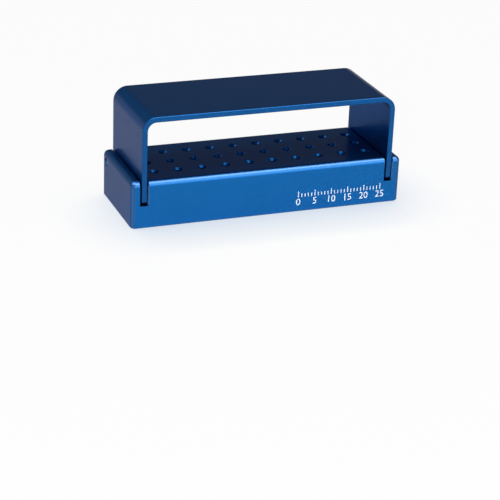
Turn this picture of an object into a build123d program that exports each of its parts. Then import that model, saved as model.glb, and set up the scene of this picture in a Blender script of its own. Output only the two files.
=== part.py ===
from build123d import *
import math
import os

# A block that holds dental burs upright, with a bail that swings back off them.
# X runs along the block, Y from its front face to its back, and Z up.
# The origin is the middle of the block's underside, and lengths are in millimetres.

# Block
block_length = 80.0
block_depth = 28.0
block_height = 13.5
corner_radius = 1.5
top_edge_radius = 1.5
bottom_edge_chamfer = 0.3

# Bur holes, drilled down from the deck
hole_columns = 10
hole_rows = 3
column_pitch = 7.0
row_pitch = 7.0
hole_diameter = 1.7
hole_depth = 10.5
countersink_diameter = 2.8
countersink_angle = 90.0
drill_point_angle = 118.0

# Slots for the bail's legs, cut right through from front to back
slot_end_wall = 2.7
slot_width = 2.0
slot_edge_chamfer = 0.35

# Bail, bent from one strap
strap_thickness = 1.5
strap_setback = 0.15
strap_edge_chamfer = 0.1
bail_rise = 18.2
bend_radius = 4.0
heel_radius = 3.6
toe_radius = 0.8
leg_floor_gap = 0.6

# Hinge pins, pressed into the block through both walls of each slot
pin_diameter = 2.5
pin_length = 10.0
pin_chamfer = 0.25
pin_below_deck = 2.8
pin_recess = 0.3
pin_end_gap = 0.5
pin_running_clearance = 0.05

# Places that follow from the sizes above
slot_x = block_length / 2 - slot_end_wall - slot_width / 2
slot_depth = pin_below_deck + heel_radius + leg_floor_gap
strap_width = block_depth - 2 * strap_setback
pin_y = strap_width / 2 - heel_radius
pin_z = block_height - pin_below_deck
leg_bottom_z = pin_z - heel_radius
bail_top_z = block_height + bail_rise
bail_half_width = slot_x + strap_thickness / 2
sides = (-1, 1)
tolerance = 0.001


def turned(outline):
    """A solid turned about Z from half its outline in the XZ plane."""
    with BuildPart() as solid:
        with BuildSketch(Plane.XZ):
            with BuildLine():
                Polyline(*outline, close=True)
            make_face()
        revolve(axis=Axis.Z)
    return solid.part


def bur_hole():
    """A countersunk blind hole with the cone that the drill leaves, its mouth at the origin."""
    rim = countersink_diameter / 2
    bore = hole_diameter / 2
    sink = (rim - bore) / math.tan(math.radians(countersink_angle / 2))
    tip = hole_depth + bore / math.tan(math.radians(drill_point_angle / 2))
    return turned([(0, 0), (rim, 0), (bore, -sink), (bore, -hole_depth), (0, -tip)])


def pin_hole():
    """The reamed cross hole for a hinge pin, its mouth at the origin."""
    depth = pin_recess + pin_length + pin_end_gap
    return turned([(0, 0), (pin_diameter / 2, 0), (pin_diameter / 2, -depth), (0, -depth)])


def at_end(side, x):
    """A place on the hinge axis, with its +Z pointing out of the block at that end."""
    return Location(Plane((side * x, pin_y, pin_z), x_dir=(0, 1, 0), z_dir=(side, 0, 0)))


def is_rim(edge):
    """True for the edges round the outside of the block's top."""
    middle = edge.center()
    inside_x = abs(middle.X) < block_length / 2 - corner_radius
    inside_y = abs(middle.Y) < block_depth / 2 - corner_radius
    return middle.Z > block_height - tolerance and not (inside_x and inside_y)


def is_slot_edge(edge):
    """True for the edges along the mouth of each slot."""
    middle = edge.center()
    off = abs(abs(abs(middle.X) - slot_x) - slot_width / 2)
    return off < tolerance and middle.Z > block_height - tolerance


def base_block():
    """The milled block with its softened edges, slots and holes."""
    with BuildPart() as block:
        with BuildSketch():
            RectangleRounded(block_length, block_depth, corner_radius)
        extrude(amount=block_height)
        with Locations(*[(side * slot_x, 0, block_height) for side in sides]):
            Box(slot_width, block_depth, slot_depth,
                align=(Align.CENTER, Align.CENTER, Align.MAX), mode=Mode.SUBTRACT)
        fillet(block.edges().filter_by(is_rim), top_edge_radius)
        chamfer(block.edges().filter_by(is_slot_edge), slot_edge_chamfer)
        chamfer(block.faces().sort_by(Axis.Z)[0].edges(), bottom_edge_chamfer)
        with Locations((0, 0, block_height)):
            with GridLocations(column_pitch, row_pitch, hole_columns, hole_rows):
                add(bur_hole(), mode=Mode.SUBTRACT)
        with Locations(*[at_end(side, block_length / 2) for side in sides]):
            add(pin_hole(), mode=Mode.SUBTRACT)
    return block.part


def strap_outline(inset):
    """The U of the strap in the XZ plane, inset from its outer face."""
    half = bail_half_width - inset
    top = bail_top_z - inset
    corners = [(-half, leg_bottom_z), (-half, top), (half, top), (half, leg_bottom_z)]
    return FilletPolyline(*corners, radius=bend_radius - inset)


def is_toe(edge):
    """True for the front corner at the foot of a leg."""
    middle = edge.center()
    return middle.Y < 0 and middle.Z < leg_bottom_z + tolerance


def is_heel(edge):
    """True for the back corner at the foot of a leg."""
    middle = edge.center()
    return middle.Y > 0 and middle.Z < leg_bottom_z + tolerance


def is_sharp(edge):
    """True for the strap's edges, but not for the lines where a bend or corner runs out flat."""
    straight = edge.geom_type == GeomType.LINE
    along_x = straight and abs(edge.tangent_at(0).X) > 1 - tolerance
    along_y = straight and abs(edge.tangent_at(0).Y) > 1 - tolerance
    at_foot = edge.center().Z < leg_bottom_z + tolerance
    return not along_x and (at_foot or not along_y)


def bail():
    """The bent strap: a U with rounded feet, softened edges and a pin hole in each leg."""
    with BuildPart() as strap:
        with BuildSketch(Plane.XZ):
            with BuildLine():
                outer = strap_outline(0)
                inner = strap_outline(strap_thickness)
                Line(outer @ 0, inner @ 0)
                Line(outer @ 1, inner @ 1)
            make_face()
        extrude(amount=strap_width / 2, both=True)
        fillet(strap.edges().filter_by(Axis.X).filter_by(is_heel), heel_radius)
        fillet(strap.edges().filter_by(Axis.X).filter_by(is_toe), toe_radius)
        chamfer(strap.edges().filter_by(is_sharp), strap_edge_chamfer)
        with Locations(at_end(1, 0)):
            Cylinder(pin_diameter / 2 + pin_running_clearance, block_length, mode=Mode.SUBTRACT)
    return strap.part


def hinge_pin(side):
    """A plain dowel sunk a little below the block's end face, its outer end chamfered."""
    with BuildPart() as pin:
        with Locations(at_end(side, block_length / 2 - pin_recess)):
            Cylinder(pin_diameter / 2, pin_length,
                     align=(Align.CENTER, Align.CENTER, Align.MAX))
        rims = pin.edges().filter_by(GeomType.CIRCLE).sort_by(Axis.X)
        chamfer(rims[-1] if side > 0 else rims[0], pin_chamfer)
    return pin.part


def main():
    """Builds each piece and writes it to its own file."""
    os.makedirs("parts", exist_ok=True)
    pieces = {
        "base_block": base_block(),
        "bail": bail(),
        "hinge_pin_left": hinge_pin(-1),
        "hinge_pin_right": hinge_pin(1),
    }
    for name, piece in pieces.items():
        export_step(piece, f"parts/{name}.step")
        print(name, len(piece.solids()), "solid", round(piece.volume, 2), "mm3")


main()
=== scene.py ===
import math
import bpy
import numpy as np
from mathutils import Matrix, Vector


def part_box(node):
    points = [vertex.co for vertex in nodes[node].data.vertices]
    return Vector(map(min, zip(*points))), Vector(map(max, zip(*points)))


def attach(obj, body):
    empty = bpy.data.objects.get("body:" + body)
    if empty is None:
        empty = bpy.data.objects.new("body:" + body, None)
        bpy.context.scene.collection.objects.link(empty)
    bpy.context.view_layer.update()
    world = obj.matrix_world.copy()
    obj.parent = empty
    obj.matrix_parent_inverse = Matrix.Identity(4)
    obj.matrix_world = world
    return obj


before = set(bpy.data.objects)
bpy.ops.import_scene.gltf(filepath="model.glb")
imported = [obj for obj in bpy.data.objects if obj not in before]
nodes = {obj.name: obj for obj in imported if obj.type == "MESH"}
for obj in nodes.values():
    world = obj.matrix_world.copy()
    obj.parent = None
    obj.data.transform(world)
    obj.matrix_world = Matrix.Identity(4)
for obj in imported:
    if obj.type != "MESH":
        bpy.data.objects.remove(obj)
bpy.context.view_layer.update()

# %% [markdown]
# # A bur block in blue anodised aluminium
# The real object is a small milled bar with thirty holes for dental burs, and a bail bent from
# strap that swings back on two steel pins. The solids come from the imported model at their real
# size. What is left for Blender is how they look: the soft gloss of blasted and dyed aluminium,
# the rings of the drill in the holes, a ground steel pin, a printed scale, and the small studio
# that shows them. Blender counts in metres, so the object's lengths are written as millimetres
# times MM, and only the studio's are plain metres.

MM = 0.001

# %% [markdown]
# ## The camera
# A picture of a box holds its own camera: the vanishing directions of its edges give the angle,
# and the way it shrinks with distance gives the lens. Matching the edges and the thirty holes
# put the camera half a metre away, to the left and above, with a long lens and a slight tilt.

# %% Camera
CAMERA_AZIMUTH = -21.43
CAMERA_ELEVATION = 23.71
CAMERA_ROLL = 2.32
CAMERA_DISTANCE = 495.9 * MM
CAMERA_AIM = Vector((-3.31, -9.60, -12.25)) * MM
CAMERA_LENS = 125.60
CAMERA_SENSOR = 36.0


def make_camera():
    """A camera that looks at its aim point from an azimuth, an elevation and a distance."""
    azimuth, elevation = math.radians(CAMERA_AZIMUTH), math.radians(CAMERA_ELEVATION)
    back = Vector((math.sin(azimuth) * math.cos(elevation),
                   -math.cos(azimuth) * math.cos(elevation),
                   math.sin(elevation)))
    data = bpy.data.cameras.new("camera")
    data.lens = CAMERA_LENS
    data.sensor_width = CAMERA_SENSOR
    camera = bpy.data.objects.new("camera", data)
    bpy.context.scene.collection.objects.link(camera)
    turn = (-back).to_track_quat("-Z", "Y").to_matrix().to_4x4()
    roll = Matrix.Rotation(math.radians(CAMERA_ROLL), 4, "Z")
    camera.matrix_world = Matrix.Translation(CAMERA_AIM + back * CAMERA_DISTANCE) @ turn @ roll
    bpy.context.scene.camera = camera
    return camera


camera = make_camera()
print("camera at", [round(v, 4) for v in camera.matrix_world.translation])

# %% [markdown]
# ## Wiring helpers
# A material here is a small machine of nodes. A few helpers keep its plans short: they add a node
# with its settings, feed its sockets with plain values or with links, and do one step of
# arithmetic. Two more start and place a node group, an effect that is built once and used by
# several materials.

# %% Wiring helpers
def add(tree, kind, values=None, **settings):
    """A node of one kind, with its properties and the plain values of its input sockets set."""
    node = tree.nodes.new(kind)
    for key, value in settings.items():
        setattr(node, key, value)
    for key, value in (values or {}).items():
        node.inputs[key].default_value = value
    return node


def wire(tree, *pairs):
    """Joins output sockets to input sockets, given as pairs."""
    for source, target in pairs:
        tree.links.new(source, target)


def feed(tree, value, target):
    """Gives an input socket a link where the value is a socket, or else the plain value."""
    if isinstance(value, bpy.types.NodeSocket):
        tree.links.new(value, target)
    else:
        target.default_value = value


def math_node(tree, operation, *values, clamp=False):
    """One step of arithmetic on sockets or plain numbers, and its result's socket."""
    node = add(tree, "ShaderNodeMath", operation=operation, use_clamp=clamp)
    for value, target in zip(values, node.inputs):
        feed(tree, value, target)
    return node.outputs[0]


# %% Vector, mix and noise helpers
# A Mix node keeps sockets for each kind of data: the places of its two inputs and its result
MIX_SOCKETS = {"FLOAT": (2, 3, 0), "VECTOR": (4, 5, 1), "RGBA": (6, 7, 2)}


def split_xyz(tree, vector):
    """The sockets X, Y and Z of a vector."""
    node = add(tree, "ShaderNodeSeparateXYZ")
    wire(tree, (vector, node.inputs[0]))
    return node.outputs


def join_xyz(tree, *parts):
    """A vector from three sockets or plain numbers."""
    node = add(tree, "ShaderNodeCombineXYZ")
    for part, target in zip(parts, node.inputs):
        feed(tree, part, target)
    return node.outputs[0]


def mix_node(tree, kind, share, first, second):
    """A blend that is the first where the share is nought, and the second where it is one."""
    node = add(tree, "ShaderNodeMix", data_type=kind)
    low, high, result = MIX_SOCKETS[kind]
    for value, index in ((share, 0), (first, low), (second, high)):
        feed(tree, value, node.inputs[index])
    return node.outputs[result]


def noise_node(tree, place, size, detail, roughness=0.5):
    """A noise that swings round one half, with blotches about as wide as the size."""
    node = add(tree, "ShaderNodeTexNoise",
               {"Scale": 1 / size, "Detail": detail, "Roughness": roughness})
    wire(tree, (place, node.inputs["Vector"]))
    return node.outputs["Fac"]


# %% Group helpers
SOCKET = {"value": "NodeSocketFloat", "vector": "NodeSocketVector", "colour": "NodeSocketColor"}


def start_group(name, takes, gives):
    """An empty shader group with named inputs and outputs, and the sockets at its two ends."""
    group = bpy.data.node_groups.new(name, "ShaderNodeTree")
    for label, kind, value in takes:
        socket = group.interface.new_socket(label, in_out="INPUT", socket_type=SOCKET[kind])
        socket.default_value = value
    for label, kind in gives:
        group.interface.new_socket(label, in_out="OUTPUT", socket_type=SOCKET[kind])
    print("group", name, "takes", [t[0] for t in takes], "gives", [g[0] for g in gives])
    return group, add(group, "NodeGroupInput").outputs, add(group, "NodeGroupOutput").inputs


def use_group(tree, group, **values):
    """Places a group in a material, feeds its inputs by name, and gives its outputs."""
    node = add(tree, "ShaderNodeGroup", node_tree=group)
    for key, value in values.items():
        feed(tree, value, node.inputs[key])
    return node.outputs


# %% [markdown]
# ## Smooth curves on the CAD pieces
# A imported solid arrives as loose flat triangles. Its shape is right and stays, but a bend would
# shine in facets. Three modifiers cure that without a change to the mesh: Weld joins the loose
# corners, a small geometry group marks every edge sharper than a limit and smooths the rest, and
# Weighted Normal lets the big flat faces win, so they stay flat up to their rounded edges.

# %% Smooth curves
SHARP_ANGLE = math.radians(33)
WELD_DISTANCE = 0.001 * MM
FLATS_WEIGHT = 100


def make_smoothing():
    """A geometry group that shades smooth, but keeps edges sharper than the limit."""
    group = bpy.data.node_groups.new("smooth_below_angle", "GeometryNodeTree")
    for in_out in ("INPUT", "OUTPUT"):
        group.interface.new_socket("Geometry", in_out=in_out, socket_type="NodeSocketGeometry")
    start, end = add(group, "NodeGroupInput"), add(group, "NodeGroupOutput")
    faces = add(group, "GeometryNodeSetShadeSmooth", {"Shade Smooth": True}, domain="FACE")
    edges = add(group, "GeometryNodeSetShadeSmooth", {"Shade Smooth": False}, domain="EDGE")
    angle = add(group, "GeometryNodeInputMeshEdgeAngle")
    sharp = add(group, "FunctionNodeCompare", {"B": SHARP_ANGLE}, operation="GREATER_THAN")
    wire(group,
         (start.outputs[0], faces.inputs["Geometry"]),
         (faces.outputs[0], edges.inputs["Geometry"]),
         (angle.outputs["Unsigned Angle"], sharp.inputs["A"]),
         (sharp.outputs[0], edges.inputs["Selection"]),
         (edges.outputs[0], end.inputs[0]))
    return group


smoothing = make_smoothing()
for node in nodes.values():
    weld = node.modifiers.new("weld", "WELD")
    weld.merge_threshold = WELD_DISTANCE
    node.modifiers.new("smooth", "NODES").node_group = smoothing
    flats = node.modifiers.new("flats", "WEIGHTED_NORMAL")
    flats.keep_sharp = True
    flats.weight = FLATS_WEIGHT
print("smoothed", sorted(nodes), "below", round(math.degrees(SHARP_ANGLE)), "degrees")

# %% [markdown]
# ## The dye
# Anodising grows a clear porous film on aluminium, and the film soaks up dye. It never does so
# quite evenly: a large soft noise and a finer one shift the shade by a few percent, and a rubbed
# edge lets a little bare metal through. The group gives a colour, so any dyed piece can use it.
# Colours here are linear shares of red, green and blue, with an alpha of one behind them.

# %% Dye group
BARE = (0.42, 0.50, 0.62, 1)
CLOUD_SIZE = 9 * MM
MOTTLE_SIZE = 1.1 * MM


def make_dye():
    """Dye times one plus an unevenness from two noises, then lightened where it is rubbed."""
    group, start, end = start_group(
        "dye", [("Place", "vector", (0, 0, 0)), ("Dye", "colour", (0.0, 0.1, 0.4, 1)),
                ("Unevenness", "value", 0.05), ("Rub", "value", 0.0)],
        [("Colour", "colour")])
    both = math_node(group, "ADD", noise_node(group, start["Place"], CLOUD_SIZE, detail=2.0),
                     noise_node(group, start["Place"], MOTTLE_SIZE, detail=3.0))
    swing = math_node(group, "MULTIPLY", math_node(group, "SUBTRACT", both, 1.0),
                      start["Unevenness"])
    shaded = add(group, "ShaderNodeVectorMath", operation="SCALE")
    wire(group,
         (start["Dye"], shaded.inputs[0]),
         (math_node(group, "ADD", swing, 1.0), shaded.inputs["Scale"]),
         (mix_node(group, "RGBA", start["Rub"], shaded.outputs[0], BARE), end["Colour"]))
    return group


dye = make_dye()

# %% [markdown]
# ## The blasted surface
# Glass beads leave thousands of tiny dimples about a tenth of a millimetre wide, which is what
# turns a mirror into satin. A fine noise gives their height to a Bump node. Where an edge has been
# handled, the dimples are polished flat: a Bevel node reads how far the surface turns within a
# small reach, which finds every outer and inner edge without a drawn mask. A wide rounded edge
# is paler over its whole width, which the Bevel node is too short to see, so a third group reads
# how far the surface leans away from the piece's own axes.

# %% Blasted surface group
DIMPLE_SIZE = 0.11 * MM
BUMP_HEIGHT = 0.02 * MM


def make_blast():
    """Dimples from a fine noise, as a bumped normal and as a fleck value round one half."""
    group, start, end = start_group(
        "blast", [("Place", "vector", (0, 0, 0)), ("Depth", "value", 0.2)],
        [("Normal", "vector"), ("Fleck", "value")])
    dimples = noise_node(group, start["Place"], DIMPLE_SIZE, detail=2.0, roughness=0.6)
    bump = add(group, "ShaderNodeBump", {"Distance": BUMP_HEIGHT})
    wire(group,
         (dimples, bump.inputs["Height"]), (start["Depth"], bump.inputs["Strength"]),
         (bump.outputs["Normal"], end["Normal"]), (dimples, end["Fleck"]))
    return group


blast = make_blast()

# %% Edge groups
RUB_REACH = 0.16 * MM
PATCH_SIZE = 1.6 * MM
LEAN_LIMIT = 0.29


def make_rub():
    """One minus the cosine between the surface and its bevelled self, broken up by a noise."""
    group, start, end = start_group(
        "rub", [("Place", "vector", (0, 0, 0)), ("Strength", "value", 1.0)], [("Rub", "value")])
    bevel = add(group, "ShaderNodeBevel", {"Radius": RUB_REACH}, samples=4)
    here = add(group, "ShaderNodeNewGeometry")
    turn = add(group, "ShaderNodeVectorMath", operation="DOT_PRODUCT")
    wire(group, (bevel.outputs[0], turn.inputs[0]), (here.outputs["Normal"], turn.inputs[1]))
    edge = math_node(group, "SUBTRACT", 1.0, turn.outputs["Value"], clamp=True)
    patchy = math_node(group, "MULTIPLY", edge,
                       noise_node(group, start["Place"], PATCH_SIZE, detail=3.0))
    wire(group, (math_node(group, "MULTIPLY", patchy, start["Strength"], clamp=True),
                 end["Rub"]))
    return group


def make_round_edge():
    """One minus the largest part of the normal: nought on a face square to an axis of the
    piece, and the limit on one that leans by 45 degrees or a corner that leans both ways."""
    group, start, end = start_group(
        "round_edge", [("Facing", "vector", (0, 0, 1)), ("Strength", "value", 0.3)],
        [("Rub", "value")])
    size = add(group, "ShaderNodeVectorMath", operation="ABSOLUTE")
    wire(group, (start["Facing"], size.inputs[0]))
    part = split_xyz(group, size.outputs[0])
    largest = math_node(group, "MAXIMUM", part["X"],
                        math_node(group, "MAXIMUM", part["Y"], part["Z"]))
    lean = math_node(group, "MINIMUM", LEAN_LIMIT,
                     math_node(group, "SUBTRACT", 1.0, largest, clamp=True))
    wire(group, (math_node(group, "MULTIPLY", lean, start["Strength"], clamp=True),
                 end["Rub"]))
    return group


rub = make_rub()
round_edge = make_round_edge()

# %% [markdown]
# ## Marks of the tools
# Cutters and rollers leave lines in one direction. A noise whose space is squeezed along one axis
# and left long along the others draws such lines on any face: across the strap for its rolled
# grain, and by distance from an axis for anything drilled or turned. Each squeeze is one over the
# width of a line in that direction, or nought where the line never ends.

# %% Tool mark group
def make_lines():
    """Lines from a noise in squeezed space, added to a normal that comes in."""
    group, start, end = start_group(
        "lines", [("Place", "vector", (0, 0, 0)), ("Squeeze", "vector", (1, 1, 1)),
                  ("Depth", "value", 0.1), ("Normal", "vector", (0, 0, 1))],
        [("Normal", "vector"), ("Line", "value")])
    squeezed = add(group, "ShaderNodeVectorMath", operation="MULTIPLY")
    wire(group, (start["Place"], squeezed.inputs[0]), (start["Squeeze"], squeezed.inputs[1]))
    line = noise_node(group, squeezed.outputs[0], size=1.0, detail=3.0, roughness=0.65)
    bump = add(group, "ShaderNodeBump", {"Distance": BUMP_HEIGHT})
    wire(group,
         (line, bump.inputs["Height"]), (start["Depth"], bump.inputs["Strength"]),
         (start["Normal"], bump.inputs["Normal"]),
         (bump.outputs["Normal"], end["Normal"]), (line, end["Line"]))
    return group


lines = make_lines()

# %% [markdown]
# ## Finding the holes
# The thirty holes stand on a grid of seven millimetres, so a material can find them with a little
# arithmetic: wrap each coordinate into one cell of the grid, and measure how far the point is from
# the middle of its cell. Inside a hole's radius and below the deck is a hole, and nothing else is.
# The ten columns stand either side of the middle and the three rows on it and beside it, so the
# cells start at nought along the block and half a pitch back across it.

# %% Hole finder group
PITCH = 7.0 * MM
CELL_STARTS = {"X": 0.0, "Y": -PITCH / 2}
GRID_HALF = {"X": 33.4 * MM, "Y": 8.6 * MM}
SINK_RADIUS = 1.45 * MM
DECK = 13.5 * MM
DECK_MARGIN = 0.01 * MM


def make_hole_finder():
    """The distance from the nearest hole's axis, and one inside a hole but nought elsewhere."""
    group, start, end = start_group(
        "holes", [("Place", "vector", (0, 0, 0))], [("Radius", "value"), ("Inside", "value")])
    part = split_xyz(group, start["Place"])
    squares = []
    for axis, low in CELL_STARTS.items():
        wrapped = math_node(group, "WRAP", part[axis], low + PITCH, low)
        offset = math_node(group, "SUBTRACT", wrapped, low + PITCH / 2)
        squares.append(math_node(group, "MULTIPLY", offset, offset))
    radius = math_node(group, "SQRT", math_node(group, "ADD", *squares))
    inside = math_node(group, "MULTIPLY", math_node(group, "LESS_THAN", radius, SINK_RADIUS),
                       math_node(group, "LESS_THAN", part["Z"], DECK - DECK_MARGIN))
    for axis, half in GRID_HALF.items():
        near = math_node(group, "LESS_THAN", math_node(group, "ABSOLUTE", part[axis]), half)
        inside = math_node(group, "MULTIPLY", inside, near)
    wire(group, (radius, end["Radius"]), (inside, end["Inside"]))
    return group


holes = make_hole_finder()

# %% [markdown]
# ## The block's finish
# Dyed aluminium is a metal under a thin clear skin, so the shader is a full metal with a little
# coat. Seen at a low angle, light takes a long way through the dye and comes back darker: the
# shader's Specular Tint, which a metal uses for its colour near the rim, does that. The satin
# gloss is the Roughness. The blast never reached the holes, so they show rings from the drill,
# and a gloss a little rougher than the deck's. Their blue is painted darker than the deck's,
# as painted shade in the holes.

# %% Finish helpers
def start_finish(name, values):
    """A material with its shader's even values set, its tree, its shader and its coordinates."""
    material = bpy.data.materials.new(name)
    material.use_nodes = True
    tree = material.node_tree
    shader = tree.nodes["Principled BSDF"]
    for key, value in values.items():
        shader.inputs[key].default_value = value
    return material, tree, shader, add(tree, "ShaderNodeTexCoord").outputs["Object"]


def satin_gloss(tree, value, gain, middle):
    """A roughness that swings round its middle value as another value swings round one half."""
    swing = math_node(tree, "MULTIPLY", math_node(tree, "SUBTRACT", value, 0.5), gain)
    return math_node(tree, "ADD", swing, middle)


def give_surface(tree, shader, colour, roughness, normal):
    """Joins the three things that change over a surface to its shader."""
    wire(tree, (colour, shader.inputs["Base Color"]), (roughness, shader.inputs["Roughness"]),
         (normal, shader.inputs["Normal"]))


def dress(name, material):
    """Gives a CAD node one material."""
    nodes[name].data.materials.clear()
    nodes[name].data.materials.append(material)
    print(name, "wears", material.name, "of", len(material.node_tree.nodes), "nodes")


# %% Block finish
DYE = (0.002, 0.124, 0.395, 1)
# painted shade: the darker blue that the inside of the holes is coloured
HOLE_SHADE_BLUE = (0.001, 0.080, 0.265, 1)
RIM = (0.32, 0.30, 0.36, 1)
SKIN = {"Metallic": 1.0, "Specular Tint": RIM,
        "Coat Weight": 0.95, "Coat Roughness": 0.20, "Coat IOR": 1.2}
DYE_UNEVENNESS = 0.10
SATIN = 0.34
SATIN_SWING = 0.10
HOLE_ROUGHER = 0.06
BLOCK_RUB = 0.5
BLOCK_ROUND_RUB = 0.55
BLOCK_DIMPLES = 0.25
RING_DEPTH = 0.5
RING_SQUEEZE = (1 / (0.05 * MM), 0, 1 / (0.12 * MM))


def make_block_finish():
    """Blasted and dyed metal, with drill rings in the holes and a darker blue painted there as
    shade.
    """
    material, tree, shader, place = start_finish("blasted_block", SKIN)
    hole = use_group(tree, holes, Place=place)
    inside, outside = hole["Inside"], math_node(tree, "SUBTRACT", 1.0, hole["Inside"])
    facing = add(tree, "ShaderNodeTexCoord").outputs["Normal"]
    rounds = use_group(tree, round_edge, Facing=facing, Strength=BLOCK_ROUND_RUB)
    edges = use_group(tree, rub, Place=place, Strength=BLOCK_RUB)
    worn = math_node(tree, "MAXIMUM", edges["Rub"],
                     math_node(tree, "MULTIPLY", rounds["Rub"], outside))
    # the holes take the darker blue of painted shade, the rest the deck's dye
    colour = use_group(tree, dye, Place=place, Unevenness=DYE_UNEVENNESS, Rub=worn,
                       Dye=mix_node(tree, "RGBA", inside, DYE, HOLE_SHADE_BLUE))
    dimples = use_group(tree, blast, Place=place, Depth=BLOCK_DIMPLES)
    polar = join_xyz(tree, hole["Radius"], 0.0, split_xyz(tree, place)["Z"])
    rings = use_group(tree, lines, Place=polar, Squeeze=RING_SQUEEZE, Depth=RING_DEPTH)
    gloss = math_node(tree, "ADD", satin_gloss(tree, dimples["Fleck"], SATIN_SWING, SATIN),
                      math_node(tree, "MULTIPLY", inside, HOLE_ROUGHER))
    give_surface(tree, shader, colour["Colour"], gloss,
                 mix_node(tree, "VECTOR", inside, dimples["Normal"], rings["Normal"]))
    return material


dress("base_block", make_block_finish())

# %% [markdown]
# ## The strap's finish
# The bail is rolled strap that was blasted and dyed with the block, so it shares the dye and the
# dimples. Under them the grain of the roller still runs along the strap: lines that are fine
# across its width and long in the other two directions follow it over both bends. Its two sheared
# edges are coloured a darker blue than its faces, from just inside their chamfers.

# %% Strap finish
# a darker blue for the strap's two sheared edges, from just inside their chamfers
EDGE_DARKER_BLUE = (0.002, 0.080, 0.270, 1)
EDGE_BAND = 0.11 * MM
EDGE_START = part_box("bail")[1].y - EDGE_BAND
STRAP_RUB = 0.3
STRAP_DIMPLES = 0.22
GRAIN_DEPTH = 0.10
GRAIN_SQUEEZE = (1 / (30 * MM), 1 / (0.15 * MM), 1 / (30 * MM))


def make_strap_finish():
    """Blasted and dyed metal over a faint rolled grain that runs along the strap."""
    material, tree, shader, place = start_finish("blasted_strap", SKIN)
    across = math_node(tree, "ABSOLUTE", split_xyz(tree, place)["Y"])
    at_edge = math_node(tree, "GREATER_THAN", across, EDGE_START)
    edges = use_group(tree, rub, Place=place, Strength=STRAP_RUB)
    colour = use_group(tree, dye, Place=place, Unevenness=DYE_UNEVENNESS, Rub=edges["Rub"],
                       Dye=mix_node(tree, "RGBA", at_edge, DYE, EDGE_DARKER_BLUE))
    dimples = use_group(tree, blast, Place=place, Depth=STRAP_DIMPLES)
    grain = use_group(tree, lines, Place=place, Squeeze=GRAIN_SQUEEZE, Depth=GRAIN_DEPTH,
                      Normal=dimples["Normal"])
    give_surface(tree, shader, colour["Colour"],
                 satin_gloss(tree, dimples["Fleck"], SATIN_SWING, SATIN), grain["Normal"])
    return material


dress("bail", make_strap_finish())

# %% [markdown]
# ## The pins' finish
# A dowel pin is hardened steel, ground round on its side and faced on its end. Both leave circles
# about its axis, so the lines are drawn on the distance from that axis and along it. The dye
# group does for steel too: its unevenness is the light staining that handling leaves.

# %% Pin finish
PIN_Y = 10.25 * MM
PIN_Z = 10.70 * MM
STEEL = (0.50, 0.51, 0.53, 1)
STAIN = 0.35
PIN_GLOSS = 0.28
PIN_GLOSS_SWING = 0.20
CIRCLE_DEPTH = 0.35
CIRCLE_SQUEEZE = (1 / (0.06 * MM), 1 / (0.10 * MM), 0)


def make_pin_finish():
    """Ground steel with circles about the hinge axis and a little staining."""
    material, tree, shader, place = start_finish("ground_pin", {"Metallic": 1.0})
    centred = add(tree, "ShaderNodeMapping",
                  {"Location": (0, -PIN_Y, -PIN_Z), "Scale": (0, 1, 1)})
    radius = add(tree, "ShaderNodeVectorMath", operation="LENGTH")
    wire(tree, (place, centred.inputs[0]), (centred.outputs[0], radius.inputs[0]))
    polar = join_xyz(tree, radius.outputs["Value"], split_xyz(tree, place)["X"], 0.0)
    circles = use_group(tree, lines, Place=polar, Squeeze=CIRCLE_SQUEEZE, Depth=CIRCLE_DEPTH)
    stained = use_group(tree, dye, Place=place, Dye=STEEL, Unevenness=STAIN)
    give_surface(tree, shader, stained["Colour"],
                 satin_gloss(tree, circles["Line"], PIN_GLOSS_SWING, PIN_GLOSS),
                 circles["Normal"])
    return material


pin_finish = make_pin_finish()
dress("hinge_pin_left", pin_finish)
dress("hinge_pin_right", pin_finish)

# %% [markdown]
# ## A printed millimetre scale
# The lower right of the front face carries a small print, and here it is a plain scale to hold a
# bur against. Ink is a film: each mark is a thin slab on the face, worked out as one array of
# corners, and the figures are text turned into a mesh, which then lies on the same face.

# %% Scale marks
SCALE_LENGTH = 25
FIGURE_EVERY = 5
SCALE_RIGHT = 33.9 * MM
SCALE_FOOT = 4.35 * MM
LONG_MARK = 1.7 * MM
SHORT_MARK = 1.0 * MM
MARK_WIDTH = 0.24 * MM
INK_THICKNESS = 0.02 * MM
FACE_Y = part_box("base_block")[0].y


def slab_marks(x, low, high, width):
    """Thin boxes on the front face: corners are middle plus or minus half a width, foot or head,
    and face or face less the ink, over all marks at once."""
    corner = np.array([(-1, 0, 0), (1, 0, 0), (1, 0, 1), (-1, 0, 1),
                       (-1, 1, 0), (1, 1, 0), (1, 1, 1), (-1, 1, 1)], float)
    points = np.empty((len(x), len(corner), 3))
    points[:, :, 0] = x[:, None] + corner[None, :, 0] * width / 2
    points[:, :, 1] = FACE_Y - corner[None, :, 1] * INK_THICKNESS
    points[:, :, 2] = low + corner[None, :, 2] * (high - low)[:, None]
    side = np.array([(4, 5, 6, 7), (0, 3, 2, 1), (0, 1, 5, 4), (2, 3, 7, 6),
                     (1, 2, 6, 5), (0, 4, 7, 3)])
    faces = side[None] + len(corner) * np.arange(len(x))[:, None, None]
    return points.reshape(-1, 3), faces.reshape(-1, 4)


steps = np.arange(SCALE_LENGTH + 1)
mark_x = SCALE_RIGHT - (SCALE_LENGTH - steps) * MM
mark_top = SCALE_FOOT + np.where(steps % FIGURE_EVERY == 0, LONG_MARK, SHORT_MARK)
mark_points, mark_faces = slab_marks(mark_x, SCALE_FOOT, mark_top, MARK_WIDTH)
print("scale has", len(steps), "marks of", len(mark_faces), "faces")

# %% Scale figures
FIGURE_HEIGHT = 2.0 * MM
FIGURE_FOOT = 1.95 * MM
FIGURE_SHARE = 0.70
FIGURE_FACETS = 3


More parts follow.
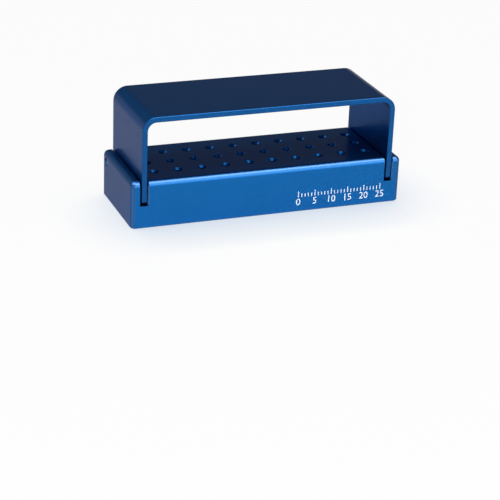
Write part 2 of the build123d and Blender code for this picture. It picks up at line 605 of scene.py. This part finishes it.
def figure_mesh(text, x):
    """The corners and faces of a figure whose foot stands centred under its mark. A figure's
    height is a fixed share of the size that the text is set in."""
    curve = bpy.data.curves.new("figure", "FONT")
    curve.body, curve.size, curve.align_x = text, FIGURE_HEIGHT / FIGURE_SHARE, "CENTER"
    curve.extrude = INK_THICKNESS / 2
    curve.resolution_u = FIGURE_FACETS
    holder = bpy.data.objects.new("figure", curve)
    mesh = bpy.data.meshes.new_from_object(holder)
    points = np.empty(len(mesh.vertices) * 3)
    mesh.vertices.foreach_get("co", points)
    flat = points.reshape(-1, 3)
    placed = np.stack([flat[:, 0] + x, FACE_Y - INK_THICKNESS / 2 - flat[:, 2],
                       flat[:, 1] + FIGURE_FOOT], 1)
    faces = [tuple(face.vertices) for face in mesh.polygons]
    bpy.data.objects.remove(holder)
    bpy.data.curves.remove(curve)
    bpy.data.meshes.remove(mesh)
    return placed, faces


all_points, all_faces = [mark_points], mark_faces.tolist()
count = len(mark_points)
for step in steps[::FIGURE_EVERY]:
    placed, drawn = figure_mesh(str(step), mark_x[step])
    all_faces += [[corner + count for corner in face] for face in drawn]
    all_points.append(placed)
    count += len(placed)
print("scale has", len(steps[::FIGURE_EVERY]), "figures and", len(all_faces), "faces in all")

# %% Scale piece
def new_object(name, points, faces):
    """A mesh object at the origin from its corners and faces."""
    mesh = bpy.data.meshes.new(name)
    mesh.from_pydata(points.tolist(), [], faces)
    mesh.validate()
    new = bpy.data.objects.new(name, mesh)
    bpy.context.scene.collection.objects.link(new)
    return new


length_scale = new_object("length_scale", np.concatenate(all_points), all_faces)
print(length_scale.name, "has", len(length_scale.data.polygons), "faces")

# %% [markdown]
# ## The ink
# White ink baked onto aluminium is matt and a little grey, thinner in some places than others. A
# plain dielectric shader with a soft noise on its colour and roughness is enough at this size.

# %% Ink finish
INK = (0.50, 0.56, 0.63, 1)
INK_IOR = 1.45
INK_UNEVENNESS = 0.15
INK_DIMPLES = 0.15
INK_GLOSS = 0.55
INK_GLOSS_SWING = 0.15


def make_ink():
    """Matt off-white ink, uneven in shade, with the dimples of the face showing through."""
    material, tree, shader, place = start_finish("ink", {"Metallic": 0.0, "IOR": INK_IOR})
    dimples = use_group(tree, blast, Place=place, Depth=INK_DIMPLES)
    shade = use_group(tree, dye, Place=place, Dye=INK, Unevenness=INK_UNEVENNESS)
    give_surface(tree, shader, shade["Colour"],
                 satin_gloss(tree, dimples["Fleck"], INK_GLOSS_SWING, INK_GLOSS),
                 dimples["Normal"])
    return material


length_scale.data.materials.append(make_ink())
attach(length_scale, "block")
print(length_scale.name, "wears", length_scale.data.materials[0].name)

# %% [markdown]
# ## The lamps
# Satin metal shows the room it stands in, so a lamp is either something that the metal mirrors or
# light that falls on the floor and on the object, and some are only one of the two. The key and
# top cards are seen only in reflections: they are large and dim, so that the rounded edges and
# the bends get soft highlights and no side flares up. The front lamp is wide and low, and lights
# the front face evenly. The window lamp is low at the front left and is seen in no reflection: it
# lights the floor that the end faces mirror, and leaves the floor behind the block in shadow.

# %% Lamps
LAMPS = [
    {"name": "key", "place": (0.25, -0.45, 0.89), "size": (1.1, 0.62), "watts": 8.2,
     "lights": "reflections"},
    {"name": "top", "place": (-0.40, 0.10, 0.90), "size": (1.2, 1.2), "watts": 10.0,
     "lights": "reflections"},
    {"name": "front", "place": (0.28, -0.91, 0.32), "size": (2.0, 0.6), "watts": 9.4,
     "lights": "both"},
    {"name": "window", "place": (-0.45, -0.85, 0.45), "size": (0.4, 0.4), "watts": 11.5,
     "lights": "surfaces"},
]


def hang_lamp(name, place, size, watts, lights):
    """A rectangular soft lamp that faces the object, for reflections, surfaces or both."""
    data = bpy.data.lights.new(name, "AREA")
    data.shape = "RECTANGLE"
    data.size, data.size_y = size
    data.energy = watts
    lamp = bpy.data.objects.new(name, data)
    bpy.context.scene.collection.objects.link(lamp)
    lamp.location = place
    lamp.rotation_mode = "QUATERNION"
    lamp.rotation_quaternion = (-Vector(place)).to_track_quat("-Z", "Y")
    lamp.visible_diffuse = lights != "reflections"
    lamp.visible_glossy = lights != "surfaces"
    print("lamp", name, "of", watts, "watts lights", lights)


for lamp in LAMPS:
    hang_lamp(**lamp)

# %% [markdown]
# ## The floor
# The object stands on white, with a faint pale blue shade at its foot. A lit floor bright enough
# to be white would take too much light, so the floor glows white for the camera, a little for
# mirrored rays, and is a plain pale floor for everything else. The shade is painted into the glow:
# an Ambient Occlusion node reads how much of the space over a point is blocked, and turns the glow
# pale blue there, as painted shadow and a painted reflection of the blue face. Its normal leans
# back, so that the floor in front of the object looks at it and the floor behind looks away.

# %% Floor
FLOOR_HALF = 3.0
FLOOR_PALE = (0.80, 0.80, 0.80, 1)
FLOOR_GLOSS = 0.30
FLOOR_WHITE = 1.0
GLOW_SEEN = 0.95
GLOW_MIRRORED = 0.08
CONTACT_REACH = 20 * MM
CONTACT_LEAN = (0.0, 0.60, 0.80)
# painted shadow and painted reflection: the pale blue the glow turns near the object
CONTACT_SHADE_AND_REFLECTION = (0.55, 0.66, 0.80, 1)
OPEN_SHADE = (1, 1, 1, 1)


def make_floor():
    """A pale square that glows white for the camera, with painted pale blue shade near the object.
    """
    corners = np.array([(-1, -1, 0), (1, -1, 0), (1, 1, 0), (-1, 1, 0)]) * FLOOR_HALF
    floor = new_object("floor", corners, [(0, 1, 2, 3)])
    material = bpy.data.materials.new("floor")
    material.use_nodes = True
    tree = material.node_tree
    shader = tree.nodes["Principled BSDF"]
    shader.inputs["Base Color"].default_value = FLOOR_PALE
    shader.inputs["Roughness"].default_value = FLOOR_GLOSS
    path = add(tree, "ShaderNodeLightPath").outputs
    mirrored = math_node(tree, "MAXIMUM", path["Is Glossy Ray"], path["Is Transmission Ray"])
    share = math_node(tree, "ADD",
                      math_node(tree, "MULTIPLY", path["Is Camera Ray"], GLOW_SEEN),
                      math_node(tree, "MULTIPLY", mirrored, GLOW_MIRRORED))
    # the occlusion paints shade and a blue reflection into the floor's glow
    open_air = add(tree, "ShaderNodeAmbientOcclusion", {"Distance": CONTACT_REACH}, samples=8)
    glow = add(tree, "ShaderNodeEmission", {"Strength": FLOOR_WHITE})
    mix = add(tree, "ShaderNodeMixShader")
    wire(tree,
         (join_xyz(tree, *CONTACT_LEAN), open_air.inputs["Normal"]),
         (mix_node(tree, "RGBA", open_air.outputs["AO"], CONTACT_SHADE_AND_REFLECTION, OPEN_SHADE),
          glow.inputs["Color"]),
         (share, mix.inputs[0]), (shader.outputs[0], mix.inputs[1]),
         (glow.outputs[0], mix.inputs[2]),
         (mix.outputs[0], tree.nodes["Material Output"].inputs["Surface"]))
    floor.data.materials.append(material)
    return floor


floor = make_floor()
print("floor is", 2 * FLOOR_HALF, "metres wide")

# %% [markdown]
# ## The world
# The camera sees plain white behind the object. The metal sees another room: pale at the horizon,
# which draws the lighter bands on the bends, dark from 16 to 30 degrees up, which keeps the deck
# and the top of the bail deep, and somewhat paler overhead. The height of a direction is its sine,
# the Z of a direction one long.

# %% World
WORLD_WHITE = (1, 1, 1, 1)
WORLD_SEEN = 1.0
WORLD_LOW = 0.50
WORLD_DARK = 0.095
WORLD_TOP = 0.23
BAND_END = math.sin(math.radians(3))
DARK_START = math.sin(math.radians(16))
DARK_END = math.sin(math.radians(30))
TOP_START = math.sin(math.radians(60))


def smooth_step(tree, value, start, end, low, high):
    """Low up to the start, high from the end on, and a smooth blend between."""
    node = add(tree, "ShaderNodeMapRange",
               {"From Min": start, "From Max": end, "To Min": low, "To Max": high},
               interpolation_type="SMOOTHSTEP")
    wire(tree, (value, node.inputs["Value"]))
    return node.outputs[0]


def make_world():
    """White for the camera, and for light and reflections pale, dark and paler with height."""
    world = bpy.data.worlds.new("world")
    bpy.context.scene.world = world
    world.use_nodes = True
    tree = world.node_tree
    sky = tree.nodes["Background"].inputs
    height = split_xyz(tree, add(tree, "ShaderNodeTexCoord").outputs["Generated"])["Z"]
    room = math_node(tree, "ADD",
                     smooth_step(tree, height, BAND_END, DARK_START, WORLD_LOW, WORLD_DARK),
                     smooth_step(tree, height, DARK_END, TOP_START, 0.0, WORLD_TOP - WORLD_DARK))
    seen = add(tree, "ShaderNodeLightPath").outputs["Is Camera Ray"]
    wire(tree, (mix_node(tree, "FLOAT", seen, room, WORLD_SEEN), sky["Strength"]))
    sky["Color"].default_value = WORLD_WHITE
    return world


print(make_world().name, WORLD_LOW, "at the horizon,", WORLD_DARK, "above,", WORLD_TOP, "overhead")

# %% [markdown]
# ## The view of colours
# Standard is the plain view of colours, without the curve of a film.

# %% Finish
bpy.context.scene.view_settings.view_transform = "Standard"
